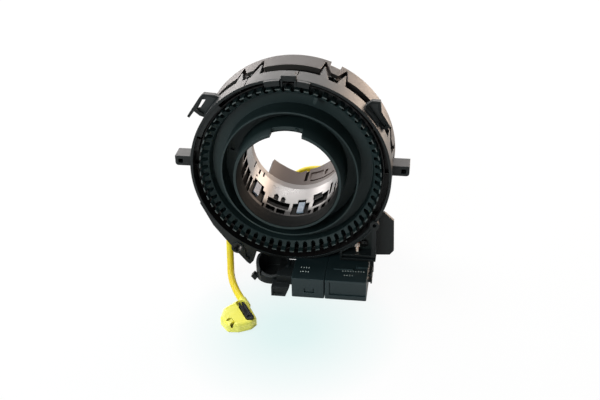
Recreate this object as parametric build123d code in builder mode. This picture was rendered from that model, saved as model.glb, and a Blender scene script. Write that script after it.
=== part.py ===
"""Steering clock spring with a steering-angle code ring, in millimetres.

The turning axis is Y: the steering column is at -Y and the steering wheel at +Y.
The origin is the centre of the bore in the plane of the front rim, with +Z up.
The part rests on the undersides of its sockets and feet, at z = stand_z.
Clock angles are in degrees from the top, growing towards +X.
"""
import os
from math import cos, pi, radians, sin, tan

from build123d import *

# ---------------------------------------------------------------- driving dimensions
# Running and seating clearances
run_gap = 0.4            # between the turning parts and the case
fit_gap = 0.1            # between pieces pushed into one another
slot_gap = 0.3           # beside a piece that slides or hides in a pocket

# Case ring, front half
case_r = 54.0
case_wall = 1.4
rim_step = 4.8           # from the outside of the case to the opening for the code ring
rim_wall = 0.8
rim_front_y = 4.6
front_depth = 11.4
channel_depth = 8.0
channel_rib_count = 12
channel_rib = 0.9
groove_depth = 3.0       # of the groove between the two halves
groove_wall = 1.4
plate = 1.5
cover_y = 19.2           # where the rear half meets the front half
cover_band_y = 19.8
cover_end_y = 34.0
cover_lip_reach = 8.0
cover_lip = 1.2

# Snap joints around the case: a pair of tongues facing a pair of notches at each
snap_angles = [-25, 24, 78, 128, 232, 282]
peak_angle = 6.4         # from the middle of a snap joint to each of its two peaks
tongue_tip_y = 24.6
tongue_inner = 3.6       # foot of a tongue, towards the middle of the joint
tongue_outer = 1.1       # and away from it
notch_tip_y = 31.0
notch_inner = 4.0
notch_outer = 1.8
latch_gap = 5.2
stud = 1.0
stud_stand = 2.6

# Bridge latch and tabs at the top of the front rim
bridge_x = 1.0
bridge_width = 8.0
bridge_height = 2.2
bridge_leg = 0.8
tab_depth = 3.0

# Bore and rotor
bore_r = 26.5
mouth_r = 26.9
mouth_depth = 5.7
tube_front_y = -9.7
tube_front_r = 28.5
tube_base_r = 30.0
floor_y = 9.2            # floor of the dish round the tube
floor_thickness = 1.7
hub_wall = 1.7
hub_front_y = 0.6
disc_inset = 3.0
disc_thickness = 1.8
keyway_width = 16.4
keyway_depth = 6.7
collar_inner_r = 36.0
collar_tip_r = 36.8
collar_base_r = 37.4
collar_front_y = -2.5

# Castellated code ring; the steps are measured inwards from its outside
tooth_count = 62
foot_step = 5.2
shoulder_step = 4.2
shoulder_y = 4.8
crest_step = 1.2
crest_y = 2.3
tip_step = 0.5
tip_y = -0.9
slot_length = 3.8
slot_width = 2.45
slot_floor_y = 7.5
index_angle = 18.5

# Ears, flanges and lugs of the front half
ear_y = 7.5
ear_depth = 9.5
ear_left_x = -64.3
ear_right_x = 62.9
ear_bottom_z = -2.0
ear_height = 5.7
ear_round = 1.6
ear_socket = 2.6
flange = 2.0
lug_left_angle = 212.4
lug_left_reach = 3.1
lug_left_r = 3.5
lug_left_hole = 2.3
lug_right_angle = 122.2
lug_right_reach = -0.1
lug_right_r = 2.6
lug_right_hole = 1.1
lug_depth = 6.0
side_plate_y = 6.0
hook_y = 9.0
hook_depth = 3.0
hook_pocket = 1.8

# Sensor compartment
sensor_width = 16.1
sensor_right_step = 9.8  # from the case's outside to the right wall of the pocket
sensor_floor_step = 6.0  # and to its floor
sensor_floor = 3.8
sensor_front_y = -1.0
sensor_back_y = 9.5
sensor_wall = 1.2
sensor_side_wall = 2.4
board = 1.2
seat_inset = 4.2         # of the board's screw, from the right wall and the floor
reader_inset = 8.0

# Stance, sockets and feet
socket_drop = 1.2        # below the sensor pocket
socket_height = 12.0
socket_front_y = -20.0
socket_back_y = 8.0
socket_wall = 1.4
socket_roof = 3.0
socket_mouth_y = -2.6    # rear end of the space that takes the plug
small_width = 17.8
large_width = 22.6
socket_space = 0.3
socket_inset = 1.0       # from the sensor pocket's right wall to the large socket
bracket = 2.2
pin = 0.64
pin_pitch = 1.42
pin_tail = 0.7
pin_rows = {             # distance from the socket's left side, terminals and depth of each row
    "small_socket": [(4.2, 4, -13.0), (4.2, 4, -9.0)],
    "large_socket": [(10.2, 4, -14.2), (9.0, 9, -10.0)],
}
rear_foot_left_x = -12.0
rear_foot_right_x = 8.0
rear_foot_y = 20.4
rear_foot_depth = 9.0

# Cable guide and leg below the case
guide_reach = 12.4       # from the leg's right side to the middle of the guide
guide_y = -4.3
guide_r = 9.5
guide_bore = 8.0
guide_lift = 3.0
guide_height = 10.5
guide_floor = 1.4
leg_width = 8.6
leg_front_y = -16.0
foot_front_y = -20.5
foot_height = 6.0

# Flat cable and its end blocks
coil_inner_r = 35.6
coil_slack = 3.5
coil_height = 19.0
coil_groove = 0.6
coil_grooves = 4
lead_block_height = 19.0

# Wheel-side tower
tower_r = 38.0
tower_start = 126.0
tower_end = 208.0
tower_wall_end = 222.0
tower_split_start = 172.8
tower_split_end = 176.8
tower_base = 4.8
tower_reach = 26.0
tower_wall = 1.9
tower_pin_reach = 9.0
tower_lug = 9.0
tower_screw_r = 1.3
tower_screw_head_r = 2.4

# Leads and plugs
lead_r = 2.0
wheel_lead_r = 1.6
plug_height = 5.0
plug_round = 2.4
plug_edge = 1.8
neck_r = 2.5
neck_length = 3.0
lock_length = 15.7
lock_width = 3.4
lock_bulb_r = 2.1
lock_height = 2.9
lock_sink = 2.1
lock_travel = 2.5
lock_x = 12.9
lock_y = -2.6
contact_depth = 2.4

# Lead from the case to the loose plug, chosen point by point
lead_route = [
    (-36.6, 7.0, -45.0),
    (-36.7, 6.6, -50.4),
    (-36.3, 4.4, -55.8),
    (-35.4, 0.2, -60.2),
    (-34.2, -5.6, -62.4),
    (-31.9, -12.4, -62.9),
    (-29.0, -19.0, -62.8),
    (-25.9, -25.2, -62.4),
    (-22.7, -30.5, -62.4),
]

# Lead across the back of the wheel-side tower, chosen point by point
wheel_route = [
    (-13.6, 49.0, -38.4),
    (-12.3, 53.8, -37.6),
    (-10.0, 58.3, -35.6),
    (-6.4, 61.4, -32.8),
    (-1.6, 62.7, -30.5),
    (4.2, 62.8, -29.2),
    (10.0, 62.6, -28.9),
]

# ---------------------------------------------------------------- derived places
rim_r = case_r - rim_step
groove_r = case_r - groove_depth
inner_wall_r = groove_r - groove_wall
cover_lip_r = case_r - cover_lip_reach
plate_y = front_depth
plate_back_y = plate_y + plate
code_r = rim_r - run_gap
tooth_foot_r = code_r - foot_step
hub_shoulder_y = floor_y + floor_thickness
hub_r = bore_r + hub_wall
hub_thick_r = tube_base_r + 0.2
disc_r = case_r - disc_inset
disc_y = cover_end_y + run_gap
disc_back_y = disc_y + disc_thickness
coil_outer_r = inner_wall_r - coil_slack

sensor_right_x = case_r - sensor_right_step
sensor_left_x = sensor_right_x - sensor_width
sensor_floor_z = -(case_r - sensor_floor_step)
sensor_bottom_z = sensor_floor_z - sensor_floor
seat_x = sensor_right_x - seat_inset
seat_z = sensor_floor_z + seat_inset
reader_x = sensor_right_x - reader_inset

socket_top_z = sensor_bottom_z - socket_drop
stand_z = socket_top_z - socket_height
large_right_x = sensor_right_x - socket_inset
large_left_x = large_right_x - large_width
small_right_x = large_left_x - socket_space
small_left_x = small_right_x - small_width
leg_right_x = small_left_x - 0.1
leg_left_x = leg_right_x - leg_width
guide_x = leg_right_x - guide_reach
guide_bottom_z = stand_z + guide_lift
foot_top_z = stand_z + foot_height


def front_plane(y):
    """Plane facing the column at depth y: local x is X and local y is Z."""
    return Plane(origin=(0, y, 0), x_dir=(1, 0, 0), z_dir=(0, -1, 0))


def outward_plane(angle, radius):
    """Plane facing outwards at a clock angle: local x runs round, local y is Y."""
    a = radians(angle)
    return Plane(
        origin=(radius * sin(a), 0, radius * cos(a)),
        x_dir=(cos(a), 0, -sin(a)),
        z_dir=(sin(a), 0, cos(a)),
    )


def half_plane(angle):
    """Half plane through the axis at a clock angle: local x is the radius."""
    a = radians(angle)
    return Plane(origin=(0, 0, 0), x_dir=(sin(a), 0, cos(a)), z_dir=(-cos(a), 0, sin(a)))


def on_circle(angle, radius):
    """X and Z of a point at a clock angle and radius."""
    return radius * sin(radians(angle)), radius * cos(radians(angle))


def round_case(points):
    """Points at clock angles, each with its reach beyond the outside of the case."""
    return [on_circle(angle, case_r + reach) for angle, reach in points]


def slab(x0, x1, y0, y1, z0, z1):
    """Rectangular block between two corners."""
    with BuildPart() as piece:
        with BuildSketch(Plane.XY.offset(z0)):
            with Locations(((x0 + x1) / 2, (y0 + y1) / 2)):
                Rectangle(x1 - x0, y1 - y0)
        extrude(amount=z1 - z0)
    return piece.part


def sector(r0, r1, y0, y1, start, end):
    """Block bounded by two radii, two depths and two clock angles."""
    with BuildPart() as piece:
        with BuildSketch(half_plane(start)):
            with Locations(((r0 + r1) / 2, (y0 + y1) / 2)):
                Rectangle(r1 - r0, y1 - y0)
        revolve(axis=Axis.Y, revolution_arc=end - start)
    return piece.part


def prism(points, y0, y1):
    """Outline in X and Z, drawn out from depth y0 to y1."""
    with BuildPart() as piece:
        with BuildSketch(front_plane(y0)):
            with BuildLine():
                Polyline(*points, close=True)
            make_face()
        extrude(amount=y0 - y1)
    return piece.part


def rod(x, z, radius, y0, y1):
    """Round bar along the turning axis."""
    with BuildPart() as piece:
        with BuildSketch(front_plane(y0)):
            with Locations((x, z)):
                Circle(radius)
        extrude(amount=y0 - y1)
    return piece.part


def patch(angle, radius, outline, height):
    """Outline drawn round the case (local x round, local y depth), raised outwards."""
    with BuildPart() as piece:
        with BuildSketch(outward_plane(angle, radius)):
            with BuildLine():
                Polyline(*outline, close=True)
            make_face()
        extrude(amount=height)
    return piece.part


def cord_tube(name, route, radius):
    """Tube of straight runs joined by arcs as large as the runs allow."""
    radii = []
    for before, here, after in zip(route, route[1:], route[2:]):
        first = Vector(*here) - Vector(*before)
        second = Vector(*after) - Vector(*here)
        half_turn = radians(first.get_angle(second)) / 2
        shorter = min(first.length, second.length)
        radii.append(0.45 * shorter / tan(half_turn))
    print(name, "bend radii", [round(value, 1) for value in radii])
    with BuildPart() as piece:
        with BuildLine():
            path = FilletPolyline(*route, radius=radii)
        with BuildSketch(Plane(origin=path @ 0, z_dir=path % 0)):
            Circle(radius)
        sweep(path=path)
    length = path.length
    print(name, "length", round(length, 1), "volume ratio",
          round(piece.part.volume / (pi * radius ** 2 * length), 4))
    return piece.part


def save(piece, name):
    """Label a finished piece and write its own file."""
    piece.label = name
    export_step(piece, f"parts/{name}.step")


os.makedirs("parts", exist_ok=True)

# ---------------------------------------------------------------- front half of the case
# One moulding: front channel, floor plate, groove wall, ears, flanges and sensor pocket.
lug_left = on_circle(lug_left_angle, case_r + lug_left_reach)
lug_right = on_circle(lug_right_angle, case_r + lug_right_reach)
print("left lug at", [round(value, 4) for value in lug_left])
with BuildPart() as case_outside:
    # Flange at the lower left, with its sunk face, and stepped plate at the lower right
    add(prism(round_case([(247.4, 0.5), (231.7, 1.8), (217.5, 4.0), (204.2, 9.2), (202.2, 9.9),
                          (201.2, 6.8), (201.3, 4.6), (202, -4), (225, -3), (243, -3)]), 0, flange))
    add(prism(round_case([(209, 1.2), (206, 6.0), (203.3, 7.4), (202.9, 2.0)]), -0.1, 1.2),
        mode=Mode.SUBTRACT)
    add(prism(round_case([(119, -3), (115.7, 2.3)])
              + [(sensor_right_x + 11.5, sensor_bottom_z + 22.7),
                 (sensor_right_x + 12.0, sensor_bottom_z + 3.6),
                 (sensor_right_x + 9.8, sensor_bottom_z + 0.8),
                 (sensor_right_x + 0.8, sensor_bottom_z + 0.2)], side_plate_y, side_plate_y + flange))
    add(rod(*lug_left, lug_left_r, -0.8, lug_depth))
    # Sensor pocket, with a channel between the two ledges under it
    add(slab(sensor_left_x - sensor_wall, sensor_right_x + sensor_side_wall, sensor_front_y,
             front_depth, sensor_bottom_z, lug_right[1] - 0.9))
    add(slab(sensor_left_x, sensor_right_x + sensor_side_wall + 1, sensor_front_y - 1, 5.6,
             sensor_bottom_z + 1.3, sensor_floor_z - 1.1), mode=Mode.SUBTRACT)
    # Upright plate that carries the backs of both sockets
    add(slab(small_left_x, large_right_x + 1.9, socket_back_y, socket_back_y + bracket,
             stand_z + 0.3, sensor_bottom_z + 1))
    add(slab(small_left_x, sensor_left_x, socket_back_y, socket_back_y + bracket,
             sensor_bottom_z, -(case_r - 10)))
    # Cable guide: a cup with a sloping top, slit in front, and a peg on its outside
    with BuildSketch(Plane.XY.offset(guide_bottom_z)):
        with Locations((guide_x, guide_y)):
            Circle(guide_r)
    extrude(amount=guide_height)
    with BuildSketch(Plane.YZ.offset(guide_x - guide_r - 1)):
        with BuildLine():
            Polyline((-16, guide_bottom_z + 3.4), (-1, guide_bottom_z + guide_height + 0.1),
                     (-1, guide_bottom_z + guide_height + 2), (-16, guide_bottom_z + guide_height + 2),
                     close=True)
        make_face()
    extrude(amount=2 * guide_r + 2, mode=Mode.SUBTRACT)
    with BuildSketch(Plane.XY.offset(guide_bottom_z + guide_floor)):
        with Locations((guide_x, guide_y)):
            Circle(guide_bore)
    extrude(amount=guide_height, mode=Mode.SUBTRACT)
    add(slab(guide_x - 6.3, guide_x - 5.4, guide_y - 9, guide_y - 3.5, guide_bottom_z + 3.6,
             guide_bottom_z + guide_height), mode=Mode.SUBTRACT)
    add(prism([(guide_x - 12.0, guide_bottom_z + 0.7), (guide_x - 10.2, guide_bottom_z + 2.8),
               (guide_x - 8.3, guide_bottom_z + 0.4), (guide_x - 9.9, guide_bottom_z - 1.8)],
              guide_y - 4.6, guide_y - 1.6))
    # Leg and foot beside the cable guide
    add(slab(leg_left_x, leg_right_x, leg_front_y, 0.5, foot_top_z - 1, socket_top_z - 1.6))
    add(prism([(leg_left_x - 2.4, foot_top_z - 0.2), (leg_right_x - 1.1, foot_top_z - 0.2),
               (leg_right_x - 3.4, stand_z), (leg_left_x - 2.5, stand_z)],
              foot_front_y, foot_front_y + 8.5))
    add(slab(leg_left_x - 1.3, leg_right_x - 4.2, foot_front_y - 0.1, foot_front_y + 0.8,
             stand_z + 1.2, foot_top_z - 1.4), mode=Mode.SUBTRACT)
    # Wire hook at the upper left: a rim round a sunk web, with a slot for the strap
    add(prism(round_case([(-44, -1.2), (-45.4, 2.4), (-49.3, 7.3), (-52.1, 7.6), (-64.4, 8.1),
                          (-64.7, 6.7), (-60.1, 5.9), (-60.8, 2.2), (-60, -1.2)]),
              hook_y, hook_y + hook_depth))
    add(prism(round_case([(-46.4, 0.8), (-49.1, 5.6), (-51.9, 6.0), (-58.6, 5.2), (-58.8, 0.8)]),
              hook_y - 0.1, hook_y + hook_pocket), mode=Mode.SUBTRACT)
    add(prism(round_case([(-52.7, 5.6), (-51.6, 4.2), (-57.2, 4.0), (-58.4, 5.0)]),
              hook_y - 0.1, hook_y + hook_depth + 0.1), mode=Mode.SUBTRACT)
    # Wire hook at the upper right
    add(prism(round_case([(46.5, -1.2), (46.5, 0.6), (46.9, 4.1), (49.8, 7.2), (54.4, 4.2),
                          (63.9, 4.1), (64.6, 1.1), (62, -1.2)]), hook_y, hook_y + hook_depth))
    add(prism(round_case([(47.6, 0.8), (48.1, 3.4), (49.9, 5.4), (53.8, 2.8), (62.4, 2.8),
                          (62.6, 0.8)]), hook_y - 0.1, hook_y + hook_pocket), mode=Mode.SUBTRACT)
    # Ears at both sides
    for x0, x1, socket_x in ((ear_left_x, -case_r + 2.2, ear_left_x + 3.0),
                             (case_r - 2.2, ear_right_x, ear_right_x - 3.0)):
        add(slab(x0, x1, ear_y, ear_y + ear_depth, ear_bottom_z, ear_bottom_z + ear_height))
        add(slab(socket_x - ear_socket / 2, socket_x + ear_socket / 2, ear_y - 0.1, ear_y + 5.0,
                 ear_bottom_z + 1.4, ear_bottom_z + 1.4 + ear_socket), mode=Mode.SUBTRACT)
    ear_corners = case_outside.edges().filter_by(Axis.Y).filter_by_position(
        Axis.Z, ear_bottom_z - 0.1, ear_bottom_z + 0.1)
    fillet([ear_corners.sort_by(Axis.X)[0], ear_corners.sort_by(Axis.X)[-1]], radius=ear_round)
    # Sleeve for the lead
    with BuildSketch(Plane.XY.offset(lead_route[0][2] + 1.2)):
        with Locations((lead_route[0][0], lead_route[0][1])):
            Circle(lead_r + 2.2)
    extrude(amount=10.0)
    # The outside pieces end within the walls of the ring
    with BuildSketch(front_plane(-30)):
        Circle(case_r - case_wall / 2)
    extrude(amount=-30 - front_depth - 20, mode=Mode.SUBTRACT)
    with BuildSketch(front_plane(-30)):
        Circle(case_r)
    extrude(amount=-30, mode=Mode.SUBTRACT)
    # Two low tabs and the bridge latch with its two legs stand on the rim at the top
    for start, end in ((-12.6, -4), (5.6, 12.7)):
        add(sector(case_r - tab_depth, case_r - 0.1, -2.2, 0.6, start, end))
    add(slab(bridge_x - bridge_width / 2, bridge_x + bridge_width / 2, -1.5, 0.8,
             case_r - 0.6, case_r + bridge_height))
    add(slab(bridge_x - bridge_width / 2 + 1.1, bridge_x + bridge_width / 2 - 1.1, 0.7, 5.8,
             case_r - 0.8, case_r + bridge_height - 0.2))
    for side in (-1, 1):
        leg_x = bridge_x + side * (bridge_width - bridge_leg - 0.3) / 2
        add(slab(leg_x - bridge_leg / 2, leg_x + bridge_leg / 2, -2.4, -0.6,
                 case_r - 3.3, case_r - 0.2))
    # Pointed tongues that reach into the rear half, and two studs between each pair
    for snap in snap_angles:
        for side in (-1, 1):
            add(patch(
                snap + side * peak_angle,
                groove_r + 0.5,
                [(-side * tongue_inner, front_depth - 1), (side * tongue_outer, front_depth - 1),
                 (side * 0.3, tongue_tip_y), (-side * 0.3, tongue_tip_y)],
                case_r - groove_r - 0.6,
            ))
        for stud_x in (-1.6, 0.9):
            add(patch(
                snap,
                groove_r - 0.5,
                [(stud_x - stud / 2, 16.2), (stud_x + stud / 2, 16.2),
                 (stud_x + stud / 2, 16.2 + stud), (stud_x - stud / 2, 16.2 + stud)],
                stud_stand,
            ))
with BuildPart() as stator_case:
    # The ring itself, then the pieces that stand on it
    with BuildSketch(Plane.XY):
        with BuildLine():
            Polyline(
                (hub_thick_r + run_gap, plate_y),
                (rim_r, plate_y),
                (rim_r, rim_front_y),
                (rim_r + rim_wall, rim_front_y),
                (rim_r + rim_wall, channel_depth),
                (case_r - case_wall, channel_depth),
                (case_r - case_wall, 0),
                (case_r, 0),
                (case_r, front_depth),
                (groove_r, front_depth),
                (groove_r, cover_y),
                (inner_wall_r, cover_y),
                (inner_wall_r, plate_back_y),
                (hub_thick_r + run_gap, plate_back_y),
                close=True,
            )
        make_face()
    revolve(axis=Axis.Y)
    # The front edge is cut back between each pair of tongues
    for snap in snap_angles:
        add(patch(snap, groove_r + 0.4,
                  [(-latch_gap / 2, front_depth - 1.5), (latch_gap / 2, front_depth - 1.5),
                   (latch_gap / 2, front_depth + 1), (-latch_gap / 2, front_depth + 1)],
                  groove_depth + 1), mode=Mode.SUBTRACT)
    # Window behind the upper right hook
    add(sector(case_r - case_wall - 0.3, case_r + 0.2, 1.3, channel_depth + 0.6, 46.8, 58.4),
        mode=Mode.SUBTRACT)
    for outside_piece in case_outside.part.solids():
        add(outside_piece)
    # Ribs low in the front channel, and the two blocks that fill it at the upper left
    with BuildSketch(front_plane(rim_front_y + 0.8)):
        with PolarLocations((rim_r + rim_wall + case_r - case_wall) / 2, channel_rib_count):
            Rectangle(case_r - case_wall - rim_r - rim_wall + 0.4, channel_rib)
    extrude(amount=rim_front_y + 0.8 - channel_depth - 0.5)
    for front_y, start, end in ((0.5, -68, -44), (3.0, -79.5, -71)):
        add(sector(rim_r + rim_wall + 0.4, case_r - case_wall + 0.2, front_y, channel_depth + 0.5,
                   start, end))
    # Ticks behind the bridge latch and the seam beside it
    for tick_x in (bridge_x - 2.8, bridge_x + 3.6):
        add(slab(tick_x - 0.3, tick_x + 0.3, 6.0, front_depth + 1, case_r - 1.8, case_r + 3),
            mode=Mode.SUBTRACT)
    add(sector(case_r - 0.8, case_r + 0.1, -0.1, front_depth + 0.1, -24.4, -23.8), mode=Mode.SUBTRACT)
    # Space inside the sensor pocket, with the screw seat on its floor
    with BuildSketch(front_plane(sensor_front_y - 1)):
        with Locations(((sensor_left_x + sensor_right_x) / 2, (sensor_floor_z + lug_right[1]) / 2)):
            Rectangle(sensor_width, lug_right[1] - sensor_floor_z)
        Circle(case_r + 0.3, mode=Mode.SUBTRACT)
    extrude(amount=sensor_front_y - 1 - sensor_back_y, mode=Mode.SUBTRACT)
    add(rod(seat_x, seat_z, 2.4, sensor_back_y - 3.0, sensor_back_y + 0.5))
    add(rod(*lug_right, lug_right_r, sensor_front_y, lug_depth))
    # Holes of the lugs, the screw seat and the lead's sleeve
    add(rod(*lug_left, lug_left_hole, -2, lug_depth + 1), mode=Mode.SUBTRACT)
    add(rod(seat_x, seat_z, 0.9, sensor_back_y - 4, sensor_back_y + 0.3), mode=Mode.SUBTRACT)
    add(rod(*lug_right, lug_right_hole, sensor_front_y - 1, lug_depth - 1), mode=Mode.SUBTRACT)
    with BuildSketch(Plane.XY.offset(lead_route[0][2])):
        with Locations((lead_route[0][0], lead_route[0][1])):
            Circle(lead_r + 1.2 + fit_gap)
    extrude(amount=4.6, mode=Mode.SUBTRACT)
    # The lug keeps clear of the code ring
    with BuildSketch(front_plane(-2)):
        Circle(rim_r)
    extrude(amount=-2 - plate_y, mode=Mode.SUBTRACT)
save(stator_case.part, "stator_case")

# ---------------------------------------------------------------- rear half of the case
# One moulding: outer band with pointed notches, inner wall and the lip over the cable.
with BuildPart() as stator_cover:
    with BuildSketch(Plane.XY):
        with BuildLine():
            Polyline(
                (inner_wall_r, cover_y),
                (groove_r, cover_y),
                (groove_r, cover_band_y),
                (case_r, cover_band_y),
                (case_r, cover_end_y),
                (cover_lip_r, cover_end_y),
                (cover_lip_r, cover_end_y - cover_lip),
                (inner_wall_r, cover_end_y - cover_lip),
                close=True,
            )
        make_face()
    revolve(axis=Axis.Y)
    for snap in snap_angles:
        for side in (-1, 1):
            add(patch(
                snap + side * peak_angle,
                groove_r + 0.2,
                [(-side * notch_inner, cover_band_y - 0.2), (side * notch_outer, cover_band_y - 0.2),
                 (side * 0.35, notch_tip_y), (-side * 0.35, notch_tip_y)],
                case_r,
            ), mode=Mode.SUBTRACT)
    # Step in the rear edge
    add(sector(case_r - 2.4, case_r + 1, cover_end_y - 6.6, cover_end_y + 1, 20.4, 26.8),
        mode=Mode.SUBTRACT)
    # Foot that steadies the case behind the sockets
    add(slab(rear_foot_left_x, rear_foot_right_x, rear_foot_y, rear_foot_y + rear_foot_depth,
             stand_z, stand_z + 2.4))
    for rib_x in (rear_foot_left_x, (rear_foot_left_x + rear_foot_right_x) / 2, rear_foot_right_x):
        rib = min(max(rib_x, rear_foot_left_x + 1), rear_foot_right_x - 1)
        add(slab(rib - 1, rib + 1, rear_foot_y, rear_foot_y + rear_foot_depth, stand_z + 2,
                 -(case_r - 2)))
    with BuildSketch(front_plane(cover_y)):
        Circle(inner_wall_r)
    extrude(amount=cover_y - cover_end_y + cover_lip, mode=Mode.SUBTRACT)
save(stator_cover.part, "stator_cover")

# ---------------------------------------------------------------- flat cable and its end blocks
# The wound flat cable, as one grooved coil standing on the floor plate.
with BuildPart() as flat_cable:
    add(sector(coil_inner_r, coil_outer_r, plate_back_y, plate_back_y + coil_height, 0, 360))
    step = (coil_outer_r - coil_inner_r) / (coil_grooves + 1)
    for turn in range(coil_grooves):
        middle = coil_inner_r + step * (turn + 1)
        add(sector(middle - coil_groove / 2, middle + coil_groove / 2,
                   plate_back_y + coil_height - 1.5, plate_back_y + coil_height + 1, 0, 360),
            mode=Mode.SUBTRACT)
save(flat_cable.part, "flat_cable")

# Moulded block that clamps the outer end of the cable inside the case wall.
with BuildPart() as outer_lead_block:
    add(sector(coil_outer_r + 0.3, inner_wall_r - fit_gap, plate_back_y,
               plate_back_y + lead_block_height - 0.2, 168, 192))
save(outer_lead_block.part, "outer_lead_block")

# Moulded block that clamps the inner end of the cable on the hub.
with BuildPart() as inner_lead_block:
    add(sector(hub_thick_r + fit_gap, coil_inner_r - run_gap, disc_y - lead_block_height,
               disc_y, 160, 200))
save(inner_lead_block.part, "inner_lead_block")

# ---------------------------------------------------------------- code ring
# One moulding: keyed bore tube, floor, thin collar and castellated outer wall.
with BuildPart() as code_ring:
    with BuildSketch(Plane.XY):
        with BuildLine():
            Polyline(
                (mouth_r, tube_front_y),
                (tube_front_r, tube_front_y),
                (tube_base_r, floor_y),
                (collar_inner_r, floor_y),
                (collar_inner_r, collar_front_y),
                (collar_tip_r, collar_front_y),
                (collar_base_r, floor_y),
                (tooth_foot_r, floor_y),
                (code_r - shoulder_step, shoulder_y),
                (code_r - crest_step, crest_y),
                (code_r - tip_step, tip_y),
                (code_r, tip_y),
                (code_r, hub_shoulder_y),
                (hub_r + fit_gap, hub_shoulder_y),
                (hub_r + fit_gap, hub_front_y),
                (bore_r, hub_front_y),
                (bore_r, tube_front_y + mouth_depth),
                close=True,
            )
        make_face()
    revolve(axis=Axis.Y)
    # Gaps between the teeth, rounded at their inner ends and open at the rim
    with BuildSketch(front_plane(-3)):
        with PolarLocations(code_r - slot_length + slot_width / 2, tooth_count):
            Circle(slot_width / 2)
        with PolarLocations(code_r + 1 - (slot_length - slot_width / 2) / 2, tooth_count):
            Rectangle(slot_length + 2 - slot_width / 2, slot_width)
    extrude(amount=-3 - slot_floor_y, mode=Mode.SUBTRACT)
    # Keyway in the front end of the tube, with the small nib on its floor
    add(slab(-keyway_width / 2, keyway_width / 2, tube_front_y - 1, tube_front_y + keyway_depth,
             20, tube_base_r + 2), mode=Mode.SUBTRACT)
    add(slab(4.0, 5.4, tube_front_y + keyway_depth - 1.3, tube_front_y + keyway_depth + 0.5,
             bore_r + 0.3, bore_r + 1.8))
    # Index mark at the foot of the teeth
    add(sector(tooth_foot_r - 1.6, code_r - 3.2, 2.4, floor_y + 0.5, index_angle - 1.1, index_angle + 1.1))
    # Short ribs and a shallow recess on the floor inside the collar
    for angle in (36.5, 39.5, 42.5):
        add(sector(collar_inner_r - 3.0, collar_inner_r - 0.6, floor_y - 1.2, floor_y + 0.3,
                   angle - 0.6, angle + 0.6))
    add(sector(collar_inner_r - 3.8, collar_inner_r - 1.4, floor_y - 0.1, floor_y + 1.0, -76, -69),
        mode=Mode.SUBTRACT)
save(code_ring.part, "code_ring")

# ---------------------------------------------------------------- wheel-side rotor
# One moulding: sleeve through the bore, with its windows and ribs, and the rear disc.
window_cuts = [
    (-104, -91, 8.0, 18.0),
    (-89, -78.6, 0.9, 18.0),
    (-76.6, -68.4, 0.9, 17.4),
    (-66.8, -61.5, 0.9, 16.0),
    (-60, -38.4, 3.1, 15.4),
    (-58.5, -42.5, 15.3, 19.4),
    (-38, -35.4, 0.9, 4.6),
    (-33.4, -5.6, 6.9, 13.8),
    (-32.6, -21.4, 1.5, 6.0),
    (-19, -8.8, 1.5, 6.0),
    (-1.8, 18.6, 2.2, 14.4),
    (3.8, 13.4, 14.3, 18.6),
    (18.5, 23, 1.6, 5.4),
    (23.6, 45, 8.2, 16.4),
    (34, 45, 16.3, 19.0),
    (26.5, 33.5, 0.9, 6.0),
    (37.5, 44, 0.9, 5.5),
    (48.5, 53, 0.9, 5.3),
    (46.5, 50.5, 12.0, 25.0),
    (56, 61, 6.0, 18.0),
    (64, 70, 3.0, 16.0),
]
slit_cuts = [
    (-67.2, -65.2, 25.7, 32.4),
    (-58.6, -56.4, 21.6, 23.4),
    (-56.8, -54.2, 26.0, 31.0),
    (-49.4, -47.4, 27.6, 32.6),
    (-25.6, -22.4, 18.8, 20.1),
    (-16.6, -13.4, 18.2, 19.4),
]
hollow_cuts = [
    (-27, -21, 13.9, 18.9),
    (-17.6, -12.2, 13.9, 18.3),
    (22, 33.9, 16.5, 22.0),
]
window_depth = 1.2
hollow_depth = 0.5
clip_windows = [(-54.6, -44.4, 7.4, 20.2), (3.6, 13.6, 5.6, 17.6)]
clip_margin = 1.2
tower_screw_angles = (tower_start - 6.0, tower_end + 6.0)
with BuildPart() as rotor_hub:
    with BuildSketch(Plane.XY):
        with BuildLine():
            Polyline(
                (bore_r, hub_front_y),
                (hub_r, hub_front_y),
                (hub_r, hub_shoulder_y),
                (hub_thick_r, hub_shoulder_y),
                (hub_thick_r, disc_y),
                (disc_r, disc_y),
                (disc_r, disc_back_y),
                (bore_r, disc_back_y),
                close=True,
            )
        make_face()
    revolve(axis=Axis.Y)
    # Angles are given from the bottom of the bore, growing towards +X, and the
    # windows stand a second time in the upper half, turned half a turn
    for half_turn in (180, 360):
        for low, high, near, far in window_cuts + slit_cuts:
            add(sector(bore_r - 1, bore_r + window_depth, near, far, half_turn - high, half_turn - low),
                mode=Mode.SUBTRACT)
        for low, high, near, far in hollow_cuts:
            add(sector(bore_r - 1, bore_r + hollow_depth, near, far, half_turn - high, half_turn - low),
                mode=Mode.SUBTRACT)
    # Ring groove and screw holes of the disc
    add(sector(tower_r + 5, disc_r - 3, disc_back_y - 0.8, disc_back_y + 1, 0, 360), mode=Mode.SUBTRACT)
    for angle in tower_screw_angles:
        x, z = on_circle(angle, (bore_r + tower_r) / 2 + 1)
        add(rod(x, z, tower_screw_r, disc_y - 5, disc_back_y + 1), mode=Mode.SUBTRACT)
save(rotor_hub.part, "rotor_hub")

# Pressed latches that sit in two of the bore windows.
with BuildPart() as hub_clips:
    for low, high, near, far in clip_windows:
        add(sector(bore_r + window_depth - 0.9, bore_r + window_depth, near + 0.4, far - clip_margin,
                   180 - high + clip_margin, 180 - low - clip_margin))
save(hub_clips.part, "hub_clips")

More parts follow.
